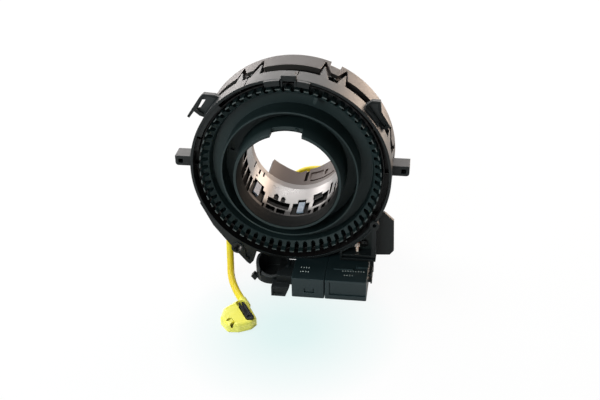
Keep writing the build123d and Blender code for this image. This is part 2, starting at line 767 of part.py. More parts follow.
# ---------------------------------------------------------------- wheel-side tower
# One moulding: curved socket tower for the wheel's switches, split by a narrow slit.
tower_back_y = disc_back_y + tower_reach
pocket_floor_y = disc_back_y + tower_base
tower_slope = [(-60, 53.8), (-12, 53.8), (-1.9, 51.2), (2.6, 55.6), (14.0, 59.6), (60, 59.6)]
gland_r = wheel_lead_r + 1.0
wheel_start = Vector(*wheel_route[0])
wheel_first = (Vector(*wheel_route[1]) - wheel_start).normalized()
tower_socket_spans = ((tower_start + 4, tower_split_start - 3), (tower_split_end + 3, tower_end - 4))
with BuildPart() as lead_tower:
    add(sector(bore_r, tower_r, disc_back_y, tower_back_y, tower_start, tower_end))
    add(sector(bore_r, bore_r + tower_wall, disc_back_y, tower_back_y, tower_end - 1, tower_wall_end))
    for start, end in tower_socket_spans:
        add(sector(bore_r + tower_wall, tower_r - tower_wall, pocket_floor_y, tower_back_y + 1,
                   start, end), mode=Mode.SUBTRACT)
    # Narrow slot down the bore side, between the two sockets
    add(sector(bore_r - 1, bore_r + 1.3, pocket_floor_y, tower_back_y + 1,
               tower_split_start, tower_split_end), mode=Mode.SUBTRACT)
    # Clip that holds the collar of the wheel-side lead
    add(sector(tower_r - 0.5, tower_r + 5.6, 44.2, 48.4, 194, 205))
    with BuildSketch(Plane(origin=wheel_start, z_dir=wheel_first)):
        Circle(gland_r + fit_gap)
    extrude(amount=-12, mode=Mode.SUBTRACT)
    # Screw lugs at both ends
    add(sector(bore_r + tower_wall, tower_r, disc_back_y, disc_back_y + 2.2,
               tower_start - tower_lug - 1, tower_start + 1))
    add(sector(bore_r + tower_wall, tower_r, disc_back_y, disc_back_y + 2.2,
               tower_end - 1, tower_end + tower_lug + 1))
    for angle in tower_screw_angles:
        x, z = on_circle(angle, (bore_r + tower_r) / 2 + 1)
        add(rod(x, z, tower_screw_r + fit_gap, disc_back_y - 1, disc_back_y + 4), mode=Mode.SUBTRACT)
    # Sloping rear edge on both sides of the slit
    with BuildSketch(Plane.XY.offset(-60)):
        with BuildLine():
            Polyline(*tower_slope, (60, 90), (-60, 90), close=True)
        make_face()
    extrude(amount=60, mode=Mode.SUBTRACT)
    # Shallow groove and latch panel on the bore side
    add(sector(bore_r - 1, bore_r + 0.9, 40.3, 41.6, 180 - 46, 180 - 11), mode=Mode.SUBTRACT)
    add(sector(bore_r - 1, bore_r + 0.5, 43.4, 51.2, 180 - 27, 180 - 10), mode=Mode.SUBTRACT)
    add(sector(bore_r - 1, bore_r + 0.7, 44.0, 50.0, 180 - 34, 180 - 30), mode=Mode.SUBTRACT)
save(lead_tower.part, "lead_tower")

# Terminals standing in the two sockets of the tower.
with BuildPart() as tower_pins:
    middle_r = (bore_r + tower_r) / 2
    for start, end in tower_socket_spans:
        for index in range(4):
            angle = end - 2.6 - 2.6 * index if start < tower_split_start else start + 2.6 + 2.6 * index
            x, z = on_circle(angle, middle_r)
            add(slab(x - pin / 2, x + pin / 2, pocket_floor_y, pocket_floor_y + tower_pin_reach,
                     z - pin / 2, z + pin / 2))
save(tower_pins.part, "tower_pins")

# Screws that hold the tower on the disc.
with BuildPart() as tower_screws:
    for angle in tower_screw_angles:
        x, z = on_circle(angle, (bore_r + tower_r) / 2 + 1)
        with BuildPart(mode=Mode.PRIVATE) as screw:
            add(rod(x, z, tower_screw_head_r, disc_back_y + 2.2, disc_back_y + 4.0))
            add(rod(x, z, tower_screw_r - 0.05, disc_y + 0.1, disc_back_y + 2.3))
            add(slab(x - 1.4, x + 1.4, disc_back_y + 3.2, disc_back_y + 4.1, z - 0.3, z + 0.3),
                mode=Mode.SUBTRACT)
            add(slab(x - 0.3, x + 0.3, disc_back_y + 3.2, disc_back_y + 4.1, z - 1.4, z + 1.4),
                mode=Mode.SUBTRACT)
        add(screw.part)
save(tower_screws.part, "tower_screws")

# ---------------------------------------------------------------- harness sockets
# Two mouldings that open downwards; their roofs carry the terminals' soldered tails.
socket_spans = {
    "small_socket": (small_left_x, small_right_x),
    "large_socket": (large_left_x, large_right_x),
}
pin_places = {}
for name, (left_x, right_x) in socket_spans.items():
    with BuildPart() as socket:
        add(slab(left_x, right_x, socket_front_y, socket_back_y, stand_z, socket_top_z))
        front_edges = socket.edges().filter_by(Axis.Z).sort_by(Axis.Y)[:2]
        fillet(front_edges, radius=0.8)
        # Mouth for the plug, then two blind pockets that save material behind it
        add(slab(left_x + socket_wall, right_x - socket_wall, socket_front_y + socket_wall,
                 socket_mouth_y, stand_z - 1, socket_top_z - socket_roof), mode=Mode.SUBTRACT)
        middle_x = (left_x + right_x) / 2
        for x0, x1 in ((left_x + socket_wall, middle_x - 0.6), (middle_x + 0.6, right_x - socket_wall)):
            add(slab(x0, x1, socket_mouth_y + socket_wall, socket_back_y - socket_wall,
                     stand_z - 1, socket_top_z - socket_roof), mode=Mode.SUBTRACT)
        # The roof stays outside the case ring
        with BuildSketch(front_plane(-0.05)):
            Circle(case_r + 0.1)
        extrude(amount=-socket_back_y - 1, mode=Mode.SUBTRACT)
        if name == "small_socket":
            # Seat of the plug's latch: a deep U round a tongue
            with BuildSketch(front_plane(socket_front_y - 0.1)):
                with Locations((left_x + 9.7, stand_z + 4.5)):
                    Rectangle(5.6, 3.0)
                with Locations((left_x + 9.7, stand_z + 5.4)):
                    Rectangle(4.0, 2.6, mode=Mode.SUBTRACT)
            extrude(amount=-1.2, mode=Mode.SUBTRACT)
        else:
            # Sunk panel above the lower lip, with a groove along two sides
            add(slab(left_x + 2.4, right_x - 0.5, socket_front_y - 0.1, socket_front_y + 0.7,
                     stand_z + 2.6, socket_top_z - 1.1), mode=Mode.SUBTRACT)
            add(slab(left_x + 2.4, left_x + 2.9, socket_front_y, socket_front_y + 1.1,
                     stand_z + 2.6, socket_top_z - 1.1), mode=Mode.SUBTRACT)
            add(slab(left_x + 2.4, right_x - 0.5, socket_front_y, socket_front_y + 1.1,
                     stand_z + 2.6, stand_z + 3.1), mode=Mode.SUBTRACT)
            # Ledges on the roof
            add(slab(left_x + 3.9, left_x + 14.6, -8.9, -8.2, socket_top_z - 0.1, socket_top_z + 0.5))
            add(slab(right_x - 6.6, right_x, -6.6, -4.6, socket_top_z - 0.1, socket_top_z + 0.8))
            # Clips on the outer side
            for clip_z in (stand_z + 8.8, stand_z + 5.0):
                add(slab(right_x - 0.1, right_x + 2.2, -9.0, -1.0, clip_z, clip_z + 1.4))
                add(slab(right_x + 1.4, right_x + 2.2, -9.0, -6.0, clip_z - 0.8, clip_z + 1.4))
        # Holes for the terminals
        pin_places[name] = [(left_x + inset + pin_pitch * index, row_y)
                            for inset, count, row_y in pin_rows[name] for index in range(count)]
        with BuildSketch(Plane.XY.offset(socket_top_z - socket_roof - 1)):
            with Locations(pin_places[name]):
                Rectangle(pin, pin)
        extrude(amount=socket_roof + 2, mode=Mode.SUBTRACT)
    save(socket.part, name)

# Terminals of each socket, pressed through its roof.
for name, places in pin_places.items():
    pins_name = name.replace("socket", "socket_pins")
    with BuildPart() as pins:
        with BuildSketch(Plane.XY.offset(stand_z + 2.5)):
            with Locations(places):
                Rectangle(pin, pin)
        extrude(amount=socket_top_z + pin_tail - stand_z - 2.5)
    save(pins.part, pins_name)

# Screws through the upright plate into the sockets' backs.
with BuildPart() as socket_screws:
    for left_x, right_x in socket_spans.values():
        add(rod((left_x + right_x) / 2, stand_z + 6.4, 2.4, socket_back_y + bracket,
                socket_back_y + bracket + 1.8))
save(socket_screws.part, "socket_screws")

# ---------------------------------------------------------------- sensor pocket's contents
# Circuit board on the floor of the pocket.
with BuildPart() as sensor_board:
    with BuildSketch(front_plane(sensor_back_y - 3.0)):
        with Locations(((sensor_left_x + sensor_right_x) / 2, (sensor_floor_z + lug_right[1]) / 2)):
            Rectangle(sensor_width - 2 * slot_gap, lug_right[1] - sensor_floor_z - 2 * slot_gap)
        Circle(case_r + 1.2, mode=Mode.SUBTRACT)
        with Locations((seat_x, seat_z)):
            Circle(1.1, mode=Mode.SUBTRACT)
        with Locations(lug_right):
            Circle(lug_right_r + slot_gap, mode=Mode.SUBTRACT)
    extrude(amount=board)
save(sensor_board.part.solids().sort_by(SortBy.VOLUME)[-1], "sensor_board")

# Reader on the board, facing the code ring: a tall blade with two side wings.
reader_back_y = sensor_back_y - 3.0 - board
with BuildPart() as code_reader:
    add(slab(reader_x - 0.65, reader_x + 0.65, reader_back_y - 3.2, reader_back_y,
             sensor_floor_z + 0.3, sensor_floor_z + 6.0))
    add(slab(reader_x - 1.3, reader_x + 1.3, reader_back_y - 3.0, reader_back_y,
             sensor_floor_z + 3.2, sensor_floor_z + 4.8))
save(code_reader.part, "code_reader")

# Screw that holds the board on its seat.
with BuildPart() as board_screw:
    head_y = sensor_back_y - 3.0 - board
    add(rod(seat_x, seat_z, 2.0, head_y - 1.5, head_y))
    add(rod(seat_x, seat_z, 0.85, head_y - 0.1, sensor_back_y - 0.2))
    add(rod(seat_x, seat_z, 0.7, head_y - 1.6, head_y - 0.6), mode=Mode.SUBTRACT)
save(board_screw.part, "board_screw")

# ---------------------------------------------------------------- lead to the loose plug
# Soft sleeve set in the case where the lead comes out.
lead_start = Vector(*lead_route[0])
lead_first = (Vector(*lead_route[1]) - lead_start).normalized()
with BuildPart() as lead_grommet:
    with BuildSketch(Plane.XY.offset(lead_start.Z - 0.6)):
        with Locations((lead_start.X, lead_start.Y)):
            Circle(lead_r + 1.2)
    extrude(amount=5.0)
    with BuildSketch(Plane(origin=lead_start, z_dir=lead_first)):
        Circle(8)
    extrude(amount=4, mode=Mode.SUBTRACT)
save(lead_grommet.part, "lead_grommet")

save(cord_tube("airbag_lead", lead_route, lead_r), "airbag_lead")

# Loose plug on its side: body with a neck for the lead, and a pocket for its lock.
# In the plug's own frame x runs on from the lead and y grows towards the lock's side.
neck_start = Vector(*lead_route[-1])
plug_way = (neck_start - Vector(*lead_route[-2])).normalized()
plug_frame = Plane(
    origin=(neck_start.X, neck_start.Y, stand_z),
    x_dir=(plug_way.X, plug_way.Y, 0),
    z_dir=(0, 0, 1),
)
plug_outline = [(1.0, 1.6), (20.0, 1.0), (22.6, -3.4), (22.2, -10.0), (19.6, -15.2), (11.5, -16.4),
                (4.6, -12.2), (1.0, -3.8)]
contact_turn = 118.0
contact_places = [(15.8, -13.1), (19.7, -12.3)]
lock_floor = plug_height - lock_sink
with BuildPart() as squib_plug:
    with BuildSketch(plug_frame) as plug_base:
        with BuildLine():
            Polyline(*plug_outline, close=True)
        make_face()
        fillet(plug_base.vertices(), radius=plug_round)
    extrude(amount=plug_height)
    fillet(squib_plug.faces().sort_by(Axis.Z)[-1].edges(), radius=plug_edge)
    with BuildSketch(Plane(origin=neck_start, z_dir=plug_way)):
        Circle(neck_r)
    extrude(amount=neck_length + 3.0)
    # Pocket on top for the sliding lock
    with BuildSketch(plug_frame.offset(lock_floor)):
        with Locations((lock_x - lock_travel / 2, lock_y)):
            RectangleRounded(lock_length + lock_travel + 2 * slot_gap, 2 * (lock_bulb_r + slot_gap),
                             lock_bulb_r)
    extrude(amount=plug_height, mode=Mode.SUBTRACT)
    # Bracket-shaped slot for the igniter's contacts
    with BuildSketch(plug_frame.offset(plug_height - contact_depth)):
        with Locations(*[Location((x, y), contact_turn) for x, y in contact_places]):
            Rectangle(2.9, 1.6)
        with Locations(Location((17.4, -11.4), 7)):
            Rectangle(4.4, 0.5)
    extrude(amount=contact_depth + 1, mode=Mode.SUBTRACT)
save(squib_plug.part, "squib_plug")

# Contacts at the bottom of the plug's slot.
with BuildPart() as plug_contacts:
    with BuildSketch(plug_frame.offset(plug_height - contact_depth)):
        with Locations(*[Location((x, y), contact_turn) for x, y in contact_places]):
            Rectangle(2.3, 0.7)
    extrude(amount=contact_depth / 2)
save(plug_contacts.part, "plug_contacts")

# Lock that slides along the top of the plug: forked at the lead's end, round at the other.
with BuildPart() as plug_lock:
    with BuildSketch(plug_frame.offset(lock_floor)):
        with Locations((lock_x, lock_y)):
            RectangleRounded(lock_length, lock_width, lock_width / 2 - 0.01)
        with Locations((lock_x + lock_length / 2 - lock_bulb_r, lock_y)):
            Circle(lock_bulb_r)
    extrude(amount=lock_height)
    with BuildSketch(plug_frame.offset(lock_floor + lock_height - 0.7)):
        with Locations((lock_x - 1.6, lock_y)):
            RectangleRounded(lock_length - 6.4, lock_width - 1.8, 0.6)
        with Locations((lock_x + lock_length / 2 - lock_bulb_r, lock_y)):
            Circle(lock_bulb_r - 0.9)
    extrude(amount=1, mode=Mode.SUBTRACT)
    with BuildSketch(plug_frame.offset(lock_floor - 0.1)):
        with Locations((lock_x - lock_length / 2 + 1, lock_y)):
            Rectangle(3.4, 0.7)
    extrude(amount=lock_height + 1, mode=Mode.SUBTRACT)
save(plug_lock.part, "plug_lock")
print("lock slides along", [round(-value, 4) for value in plug_way])

# ---------------------------------------------------------------- lead on the tower
save(cord_tube("wheel_lead", wheel_route, wheel_lead_r), "wheel_lead")

# Collar in the tower's clip, where the lead comes out.
with BuildPart() as wheel_lead_gland:
    with BuildSketch(Plane(origin=wheel_start, z_dir=wheel_first)):
        Circle(gland_r)
    extrude(amount=-5.4)
save(wheel_lead_gland.part, "wheel_lead_gland")

# Plug at the end of the wheel-side lead, stowed on the tower's rear edge.
wheel_end = Vector(*wheel_route[-1])
wheel_last = (wheel_end - Vector(*wheel_route[-2])).normalized()
wheel_plug_y = tower_slope[-1][1]
with BuildPart() as wheel_plug:
    with BuildSketch(Plane(origin=wheel_end, z_dir=wheel_last)):
        Circle(wheel_lead_r + 0.8)
    extrude(amount=3.0)
    add(slab(wheel_end.X + 1.8, wheel_end.X + 8.4, wheel_plug_y, wheel_end.Y + 3.0,
             wheel_end.Z - 6.5, wheel_end.Z + 1.6))
save(wheel_plug.part, "wheel_plug")
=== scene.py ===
"""Steering clock spring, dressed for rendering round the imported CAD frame.

Lengths are in metres, Y is the turning axis and the steering wheel is at +Y.
"""
import math

import bpy
from mathutils import Matrix, Vector


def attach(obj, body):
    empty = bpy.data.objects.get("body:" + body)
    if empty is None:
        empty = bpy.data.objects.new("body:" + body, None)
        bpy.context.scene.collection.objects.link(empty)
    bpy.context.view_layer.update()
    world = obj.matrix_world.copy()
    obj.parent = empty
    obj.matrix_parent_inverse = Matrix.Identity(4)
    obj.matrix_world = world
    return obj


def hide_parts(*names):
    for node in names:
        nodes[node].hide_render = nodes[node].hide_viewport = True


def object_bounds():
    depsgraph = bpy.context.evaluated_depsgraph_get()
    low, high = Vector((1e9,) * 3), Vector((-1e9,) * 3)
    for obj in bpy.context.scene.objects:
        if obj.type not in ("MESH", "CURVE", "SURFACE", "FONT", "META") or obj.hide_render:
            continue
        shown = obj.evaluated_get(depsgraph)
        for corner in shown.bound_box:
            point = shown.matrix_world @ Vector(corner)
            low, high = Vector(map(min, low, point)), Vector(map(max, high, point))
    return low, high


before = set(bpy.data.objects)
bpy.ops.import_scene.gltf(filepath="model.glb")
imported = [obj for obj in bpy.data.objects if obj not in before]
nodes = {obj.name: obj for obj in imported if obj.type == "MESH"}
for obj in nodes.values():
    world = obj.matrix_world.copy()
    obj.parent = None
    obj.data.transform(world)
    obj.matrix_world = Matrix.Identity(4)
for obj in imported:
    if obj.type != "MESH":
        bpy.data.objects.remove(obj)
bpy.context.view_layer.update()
scene = bpy.context.scene
scene.view_settings.view_transform = "Standard"

# ---------------------------------------------------------------- camera
# A short telephoto view into the bore, from a little to the right and well
# above it, tilted by just over a degree.
camera_turn = math.radians(8.798)
camera_rise = math.radians(29.654)
camera_roll = math.radians(-1.3)
camera_place = Vector((0.07175, -0.42967, 0.23190))
camera_back = Vector((
    math.sin(camera_turn) * math.cos(camera_rise),
    -math.cos(camera_turn) * math.cos(camera_rise),
    math.sin(camera_rise),
))
level_right = Vector((math.cos(camera_turn), math.sin(camera_turn), 0))
level_up = camera_back.cross(level_right)
camera_right = level_right * math.cos(camera_roll) + level_up * math.sin(camera_roll)
camera_up = level_up * math.cos(camera_roll) - level_right * math.sin(camera_roll)
camera_data = bpy.data.cameras.new("camera")
camera_data.lens = 55.8
camera_data.sensor_width = 36
camera_data.clip_start = 0.01
camera = bpy.data.objects.new("camera", camera_data)
camera.matrix_world = Matrix((
    (camera_right.x, camera_up.x, camera_back.x, camera_place.x),
    (camera_right.y, camera_up.y, camera_back.y, camera_place.y),
    (camera_right.z, camera_up.z, camera_back.z, camera_place.z),
    (0, 0, 0, 1),
))
scene.collection.objects.link(camera)
scene.camera = camera

# ---------------------------------------------------------------- yellow lead
# Soft yellow sleeve over two thin wires, 4 mm across. It drops out of the case
# behind the left flange and lies loose on the floor up to its plug.


class Tone:
    """A socket of a node tree: Python arithmetic on it adds Math nodes."""

    def __init__(self, maker, socket):
        self.maker = maker
        self.socket = socket

    def _maths(self, operation, *values):
        return self.maker.node("Math", {"operation": operation}, dict(enumerate(values)))

    def __add__(self, other):
        return self._maths("ADD", self, other)

    def __radd__(self, other):
        return self._maths("ADD", other, self)

    def __sub__(self, other):
        return self._maths("SUBTRACT", self, other)

    def __rsub__(self, other):
        return self._maths("SUBTRACT", other, self)

    def __mul__(self, other):
        return self._maths("MULTIPLY", self, other)

    def __rmul__(self, other):
        return self._maths("MULTIPLY", other, self)

    def __truediv__(self, other):
        return self._maths("DIVIDE", self, other)

    def __pow__(self, other):
        return self._maths("POWER", self, other)

    def __gt__(self, other):
        return self._maths("GREATER_THAN", self, other)

    def __lt__(self, other):
        return self._maths("LESS_THAN", self, other)

    def within(self, limits):
        """1 between two limits and 0 outside them."""
        return (self > limits[0]) * (self < limits[1])


class Maker:
    """A node tree in the making. Every node of it comes from one method."""

    family = "ShaderNode"
    other_families = {}

    def __init__(self, tree):
        self.tree = tree

    def node(self, kind, settings=None, sockets=None, output=0):
        """Adds a node, sets it up, fills or links its sockets and gives one output back."""
        made = self.tree.nodes.new(self.other_families.get(kind, self.family) + kind)
        for name, value in (settings or {}).items():
            if name == "stops":
                ramp = made.color_ramp.elements
                while len(ramp) < len(value):
                    ramp.new(0.5)
                for stop, (place, colour) in zip(ramp, value):
                    stop.position = place
                    stop.color = (*colour, 1)
            else:
                setattr(made, name, value)
        for name, value in (sockets or {}).items():
            for item in value if isinstance(value, list) else [value]:
                self.fill(made.inputs[name], item)
        return Tone(self, made.outputs[output]) if made.outputs else None

    def fill(self, socket, value):
        """Links a tone to a socket, or gives the socket a value of its own."""
        if isinstance(value, Tone):
            self.tree.links.new(value.socket, socket)
        else:
            socket.default_value = (*value, 1) if socket.type == "RGBA" else value


class Finish(Maker):
    """A material in the making: a Principled shader and the nodes that feed it."""

    def __init__(self, name, **fixed):
        self.material = bpy.data.materials.new(name)
        self.material.use_nodes = True
        super().__init__(self.material.node_tree)
        self.shader = self.tree.nodes["Principled BSDF"]
        for socket, value in fixed.items():
            self.drive(socket.replace("_", " "), value)

    def drive(self, socket, value):
        """Feeds one of the shader's own sockets."""
        self.fill(self.shader.inputs[socket], value)

    def so_far(self, socket):
        """What feeds one of the shader's sockets up to now."""
        return Tone(self, self.shader.inputs[socket].links[0].from_socket)

    def places(self):
        """Object coordinates of the piece."""
        return self.node("TexCoord", output="Object")

    def part(self, letter):
        """One of the three object coordinates, in metres."""
        return self.node("SeparateXYZ", {}, {0: self.places()}, output=letter)

    def from_axis(self):
        """Distance from the turning axis, in metres."""
        return (self.part("X") ** 2 + self.part("Z") ** 2) ** 0.5

    def noise(self, scale, detail=3.0, roughness=0.5):
        """Even noise from 0 to 1 over the piece."""
        return self.node("TexNoise", {}, {
            "Vector": self.places(), "Scale": scale, "Detail": detail, "Roughness": roughness})

    def fade(self, tone, start, end):
        """Runs from 0 where the tone is at start to 1 where it is at end."""
        return self.node("MapRange", {}, {"Value": tone, "From Min": start, "From Max": end})

    def ramp(self, factor, *stops):
        """Colour that runs through stops, each a place on the factor and a colour."""
        return self.node("ValToRGB", {"stops": stops}, {"Fac": factor})

    def blend(self, factor, first, second):
        """Colour between two colours."""
        return self.node("Mix", {"data_type": "RGBA"}, {0: factor, 6: first, 7: second}, output=2)

    def tint(self, factor, *stops):
        """Gives the finish the colours of a ramp."""
        self.drive("Base Color", self.ramp(factor, *stops))

    def stain(self, factor, colour):
        """Lays another colour over what the finish has so far."""
        self.drive("Base Color", self.blend(factor, self.so_far("Base Color"), colour))

    def dull(self, factor, roughness):
        """Roughens the finish where the factor says."""
        before = self.so_far("Roughness")
        self.drive("Roughness", before + factor * (roughness - before))

    def cover(self, factor, shader):
        """Shows another shader in place of the finish's own where the factor says."""
        own = Tone(self, self.shader.outputs[0])
        both = self.node("MixShader", {}, {0: factor, 1: own, 2: shader})
        self.fill(self.tree.nodes["Material Output"].inputs["Surface"], both)

    def shade(self, factor):
        """Takes all light away where the factor says, as in a deep gap."""
        self.cover(factor, self.node("BsdfDiffuse", {}, {"Color": (0.001, 0.001, 0.001)}))

    def bump(self, height, distance, strength, under=None):
        """Relief of the surface from a height from 0 to 1, on the plain normal or another."""
        sockets = {"Height": height, "Distance": distance, "Strength": strength}
        if under is not None:
            sockets["Normal"] = under
        self.drive("Normal", self.node("Bump", {}, sockets))


def cord_curve(name, route, radius):
    """Round cord along a smooth line through its control points."""
    curve = bpy.data.curves.new(name, "CURVE")
    curve.dimensions = "3D"
    line = curve.splines.new("NURBS")
    line.points.add(len(route) - 1)
    for point, place in zip(line.points, route):
        point.co = (*place, 1)
    line.order_u = 3
    line.use_endpoint_u = True
    line.resolution_u = 12
    curve.bevel_depth = radius
    curve.bevel_resolution = 8
    curve.use_fill_caps = True
    piece = bpy.data.objects.new(name, curve)
    scene.collection.objects.link(piece)
    return piece


soiled_sleeve = (0.95, 0.62, 0.012)
plain_sleeve = (1.0, 0.80, 0.02)
clean_sleeve = (1.0, 0.88, 0.04)
sleeve_grain = 0.00008
yellow_sleeve = Finish("yellow_sleeve", Roughness=0.5)
fibre = yellow_sleeve.noise(900, detail=2)
soil = yellow_sleeve.noise(70, detail=4, roughness=0.6)
yellow_sleeve.tint(soil, (0.25, soiled_sleeve), (0.55, plain_sleeve), (0.85, clean_sleeve))
yellow_sleeve.bump(fibre, sleeve_grain, strength=0.5)
lead_radius = 0.002
lead_route = [
    (-0.0366, 0.0070, -0.0450),
    (-0.0367, 0.0066, -0.0504),
    (-0.0363, 0.0044, -0.0558),
    (-0.0354, 0.0002, -0.0602),
    (-0.0342, -0.0056, -0.0624),
    (-0.0319, -0.0124, -0.0629),
    (-0.0290, -0.0190, -0.0628),
    (-0.0259, -0.0252, -0.0624),
    (-0.0227, -0.0305, -0.0624),
]
lead = cord_curve("yellow_lead", lead_route, lead_radius)
lead.data.materials.append(yellow_sleeve.material)
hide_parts("airbag_lead")
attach(lead, "case")

# ---------------------------------------------------------------- loose plug
# Yellow plug for an airbag igniter with its black sliding lock, moulded in two
# pieces, and two sprung brass contacts at the bottom of its slot.


def coat(finish, *names):
    """Gives CAD nodes their finish."""
    for name in names:
        for slot in nodes[name].material_slots:
            slot.link = "OBJECT"
            slot.material = finish.material


def moulded(name, colour, lift, roughness, relief=0.35, ior=1.48):
    """Glass-filled nylon from a spark-eroded mould, painted paler by the lift along its edges."""
    edge_round = 0.0004
    edge_pale_gain = 5
    pore_depth = 0.00003
    dark_share, light_share = 0.8, 1.25
    finish = Finish(name, IOR=ior)
    pores = finish.noise(2600, detail=2)
    clouds = finish.noise(45, detail=4, roughness=0.6)
    rounded = finish.node("Bevel", {"samples": 4}, {"Radius": edge_round})
    straight = finish.node("NewGeometry", output="Normal")
    along = finish.node("VectorMath", {"operation": "DOT_PRODUCT"},
                        {0: rounded, 1: straight}, output="Value")
    pale_edges = (1 - along) * edge_pale_gain * (0.5 + clouds)
    dark, light, pale = (tuple(min(1, value * share) for value in colour)
                         for share in (dark_share, light_share, lift))
    finish.drive("Base Color", finish.blend(pale_edges, finish.blend(clouds, dark, light), pale))
    finish.drive("Roughness", roughness + 0.16 * clouds - 0.06 * pores)
    finish.bump(pores, pore_depth, relief, rounded)
    return finish


plug_yellow = (1.0, 0.89, 0.09)
plug_highlight = (1.0, 0.95, 0.20)
plug_grain = 0.00002
yellow_plastic = Finish("yellow_plastic", Roughness=0.3, IOR=1.5)
grain = yellow_plastic.noise(1500, detail=2)
flow = yellow_plastic.noise(60)
yellow_plastic.tint(flow, (0.3, plug_yellow), (0.7, plug_highlight))
yellow_plastic.drive("Roughness", 0.24 + 0.2 * grain)
yellow_plastic.bump(grain, plug_grain, strength=0.4)
coat(yellow_plastic, "squib_plug")
lock_black = moulded("lock_black", (0.012, 0.013, 0.014), lift=6, roughness=0.3)
coat(lock_black, "plug_lock")
brass_tarnish = (0.020, 0.016, 0.010)
brass_bright = (0.06, 0.045, 0.025)
contact_brass = Finish("contact_brass", Metallic=1.0, Roughness=0.3)
contact_brass.tint(contact_brass.noise(400), (0.3, brass_tarnish), (0.7, brass_bright))
coat(contact_brass, "plug_contacts")

# ---------------------------------------------------------------- front half of the case
# Black glass-filled nylon moulding. Its two ears, the wire hooks and the sensor
# pocket are one piece with it, and its tongues snap into the rear half.
channel_r = (0.0487, 0.0527)
channel_y = (0.0008, 0.0082)
channel_shade_brown = (0.010, 0.005, 0.005)
channel_shade_share = 0.8
groove_r = (0.0495, 0.0517)
groove_front_y = 0.0114
groove_shade = 0.92
guide_x, guide_y = -0.0100, -0.0043
guide_r = 0.0081
guide_top_z = -0.0512
guide_shade_black = (0.003, 0.003, 0.003)
guide_shade_share = 0.8
shade_front_back_y = 0.0100
shade_front_facing = -0.8
front_shade_share = 0.45
case_black = moulded("case_black", (0.008, 0.011, 0.012), lift=4, roughness=0.45, ior=1.6)
case_axis = case_black.from_axis()
case_depth = case_black.part("Y")
# Painted shade: the deep front channel between rim and teeth gets a darker brown colour.
front_channel = case_axis.within(channel_r) * case_depth.within(channel_y)
case_black.stain(front_channel * channel_shade_share, channel_shade_brown)
# Painted shade: the inside of the cable guide's cup gets a near-black colour.
from_guide = ((case_black.part("X") - guide_x) ** 2 + (case_black.part("Y") - guide_y) ** 2) ** 0.5
guide_cup = (from_guide < guide_r) * (case_black.part("Z") < guide_top_z)
case_black.stain(guide_cup * guide_shade_share, guide_shade_black)
# Painted shade: the case's front faces are half covered with a black shader, and the snap groove
# almost wholly.
facing = case_black.node("SeparateXYZ", {}, {
    0: case_black.node("NewGeometry", output="Normal")}, output="Y")
shaded_front = (facing < shade_front_facing) * (case_depth < shade_front_back_y)
snap_groove = case_axis.within(groove_r) * (case_depth > groove_front_y)
case_black.shade(snap_groove * groove_shade + shaded_front * front_shade_share)
coat(case_black, "stator_case")

# ---------------------------------------------------------------- rear half of the case
# Same nylon, moulded as a drum with a notched front edge and a foot behind. Its
# neck lies in the shade under the tongues of the front half.
neck_r = 0.0512
neck_shade = 0.92
cover_black = moulded("cover_black", (0.030, 0.022, 0.019), lift=5, roughness=0.48, ior=1.6)
cover_neck = cover_black.from_axis() < neck_r
cover_black.shade(cover_neck * neck_shade)
coat(cover_black, "stator_cover")

# ---------------------------------------------------------------- wound cable
# Flat cable of copper tracks between two clear films, wound on edge with air
# between its turns and clamped at both ends. It fills the case's inside.
turn_wave = 13000    # radians a metre, which is a turn every 0.48 mm
turn_gap_shade = (0.10, 0.06, 0.03)
film_copper = (0.62, 0.52, 0.38)
film_glint = (0.75, 0.70, 0.62)
turn_relief = 0.0002
cable_film = Finish("cable_film", Roughness=0.3)
turns = cable_film.node("Math", {"operation": "SINE"}, {0: cable_film.from_axis() * turn_wave})
# Painted shade and highlight: dark brown in the gaps between turns, a pale glint on each turn's
# crest, copper between.
cable_film.tint(turns * 0.5 + 0.5, (0.2, turn_gap_shade), (0.6, film_copper), (0.9, film_glint))
cable_film.bump(turns, turn_relief, strength=0.6)
coat(cable_film, "flat_cable")

# ---------------------------------------------------------------- code ring
# Matt black moulding with a dished face and slots that the steering-angle
# reader counts. The tips of its teeth are painted pale as a highlight.
teeth_r = 0.0481
tips_back_y = -0.0004
tip_highlight_grey = (0.095, 0.110, 0.108)
tip_highlight_share = 0.9
tube_r = 0.0272
tube_back_y = 0.0090
tube_shade = 0.8
ring_black = moulded("ring_black", (0.010, 0.022, 0.023), lift=2.2, roughness=0.55)
ring_axis = ring_black.from_axis()
ring_depth = ring_black.part("Y")
ring_black.stain((ring_axis > teeth_r) * (ring_depth < tips_back_y) * tip_highlight_share, tip_highlight_grey)
ring_black.shade((ring_axis < tube_r) * (ring_depth < tube_back_y) * tube_shade)
coat(ring_black, "code_ring")

# ---------------------------------------------------------------- hub
# Turning hub of the wheel side, a black sleeve with a brown-black rear disc. Its
# bore is as smooth as the steel core that formed it, with deep windows for the
# latches of the ring. Two of the windows show pale latches pressed into them.
window_r = (0.0268, 0.0285)
window_back_y = 0.0335
window_shade = 0.95
disc_y = 0.0310
disc_brown = (0.050, 0.036, 0.032)
disc_stain = 0.9
disc_roughness = 0.5
mouth_start_y, mouth_end_y = 0.0105, 0.0045
mouth_shade = 0.85
hub_black = moulded("hub_black", (0.050, 0.044, 0.041), lift=4, roughness=0.24,
                    relief=0.03, ior=1.95)
hub_axis = hub_black.from_axis()
hub_depth = hub_black.part("Y")
hub_rear = hub_depth > disc_y
hub_black.stain(hub_rear * disc_stain, disc_brown)
hub_black.dull(hub_rear, disc_roughness)
hub_windows = hub_axis.within(window_r) * (hub_depth < window_back_y)
hub_mouth = hub_black.fade(hub_depth, mouth_start_y, mouth_end_y) * (hub_axis < window_r[0])
hub_black.shade(hub_mouth * mouth_shade + hub_windows * window_shade)
coat(hub_black, "rotor_hub")
clip_blue = (0.42, 0.50, 0.62)
clip_white = (0.72, 0.78, 0.90)
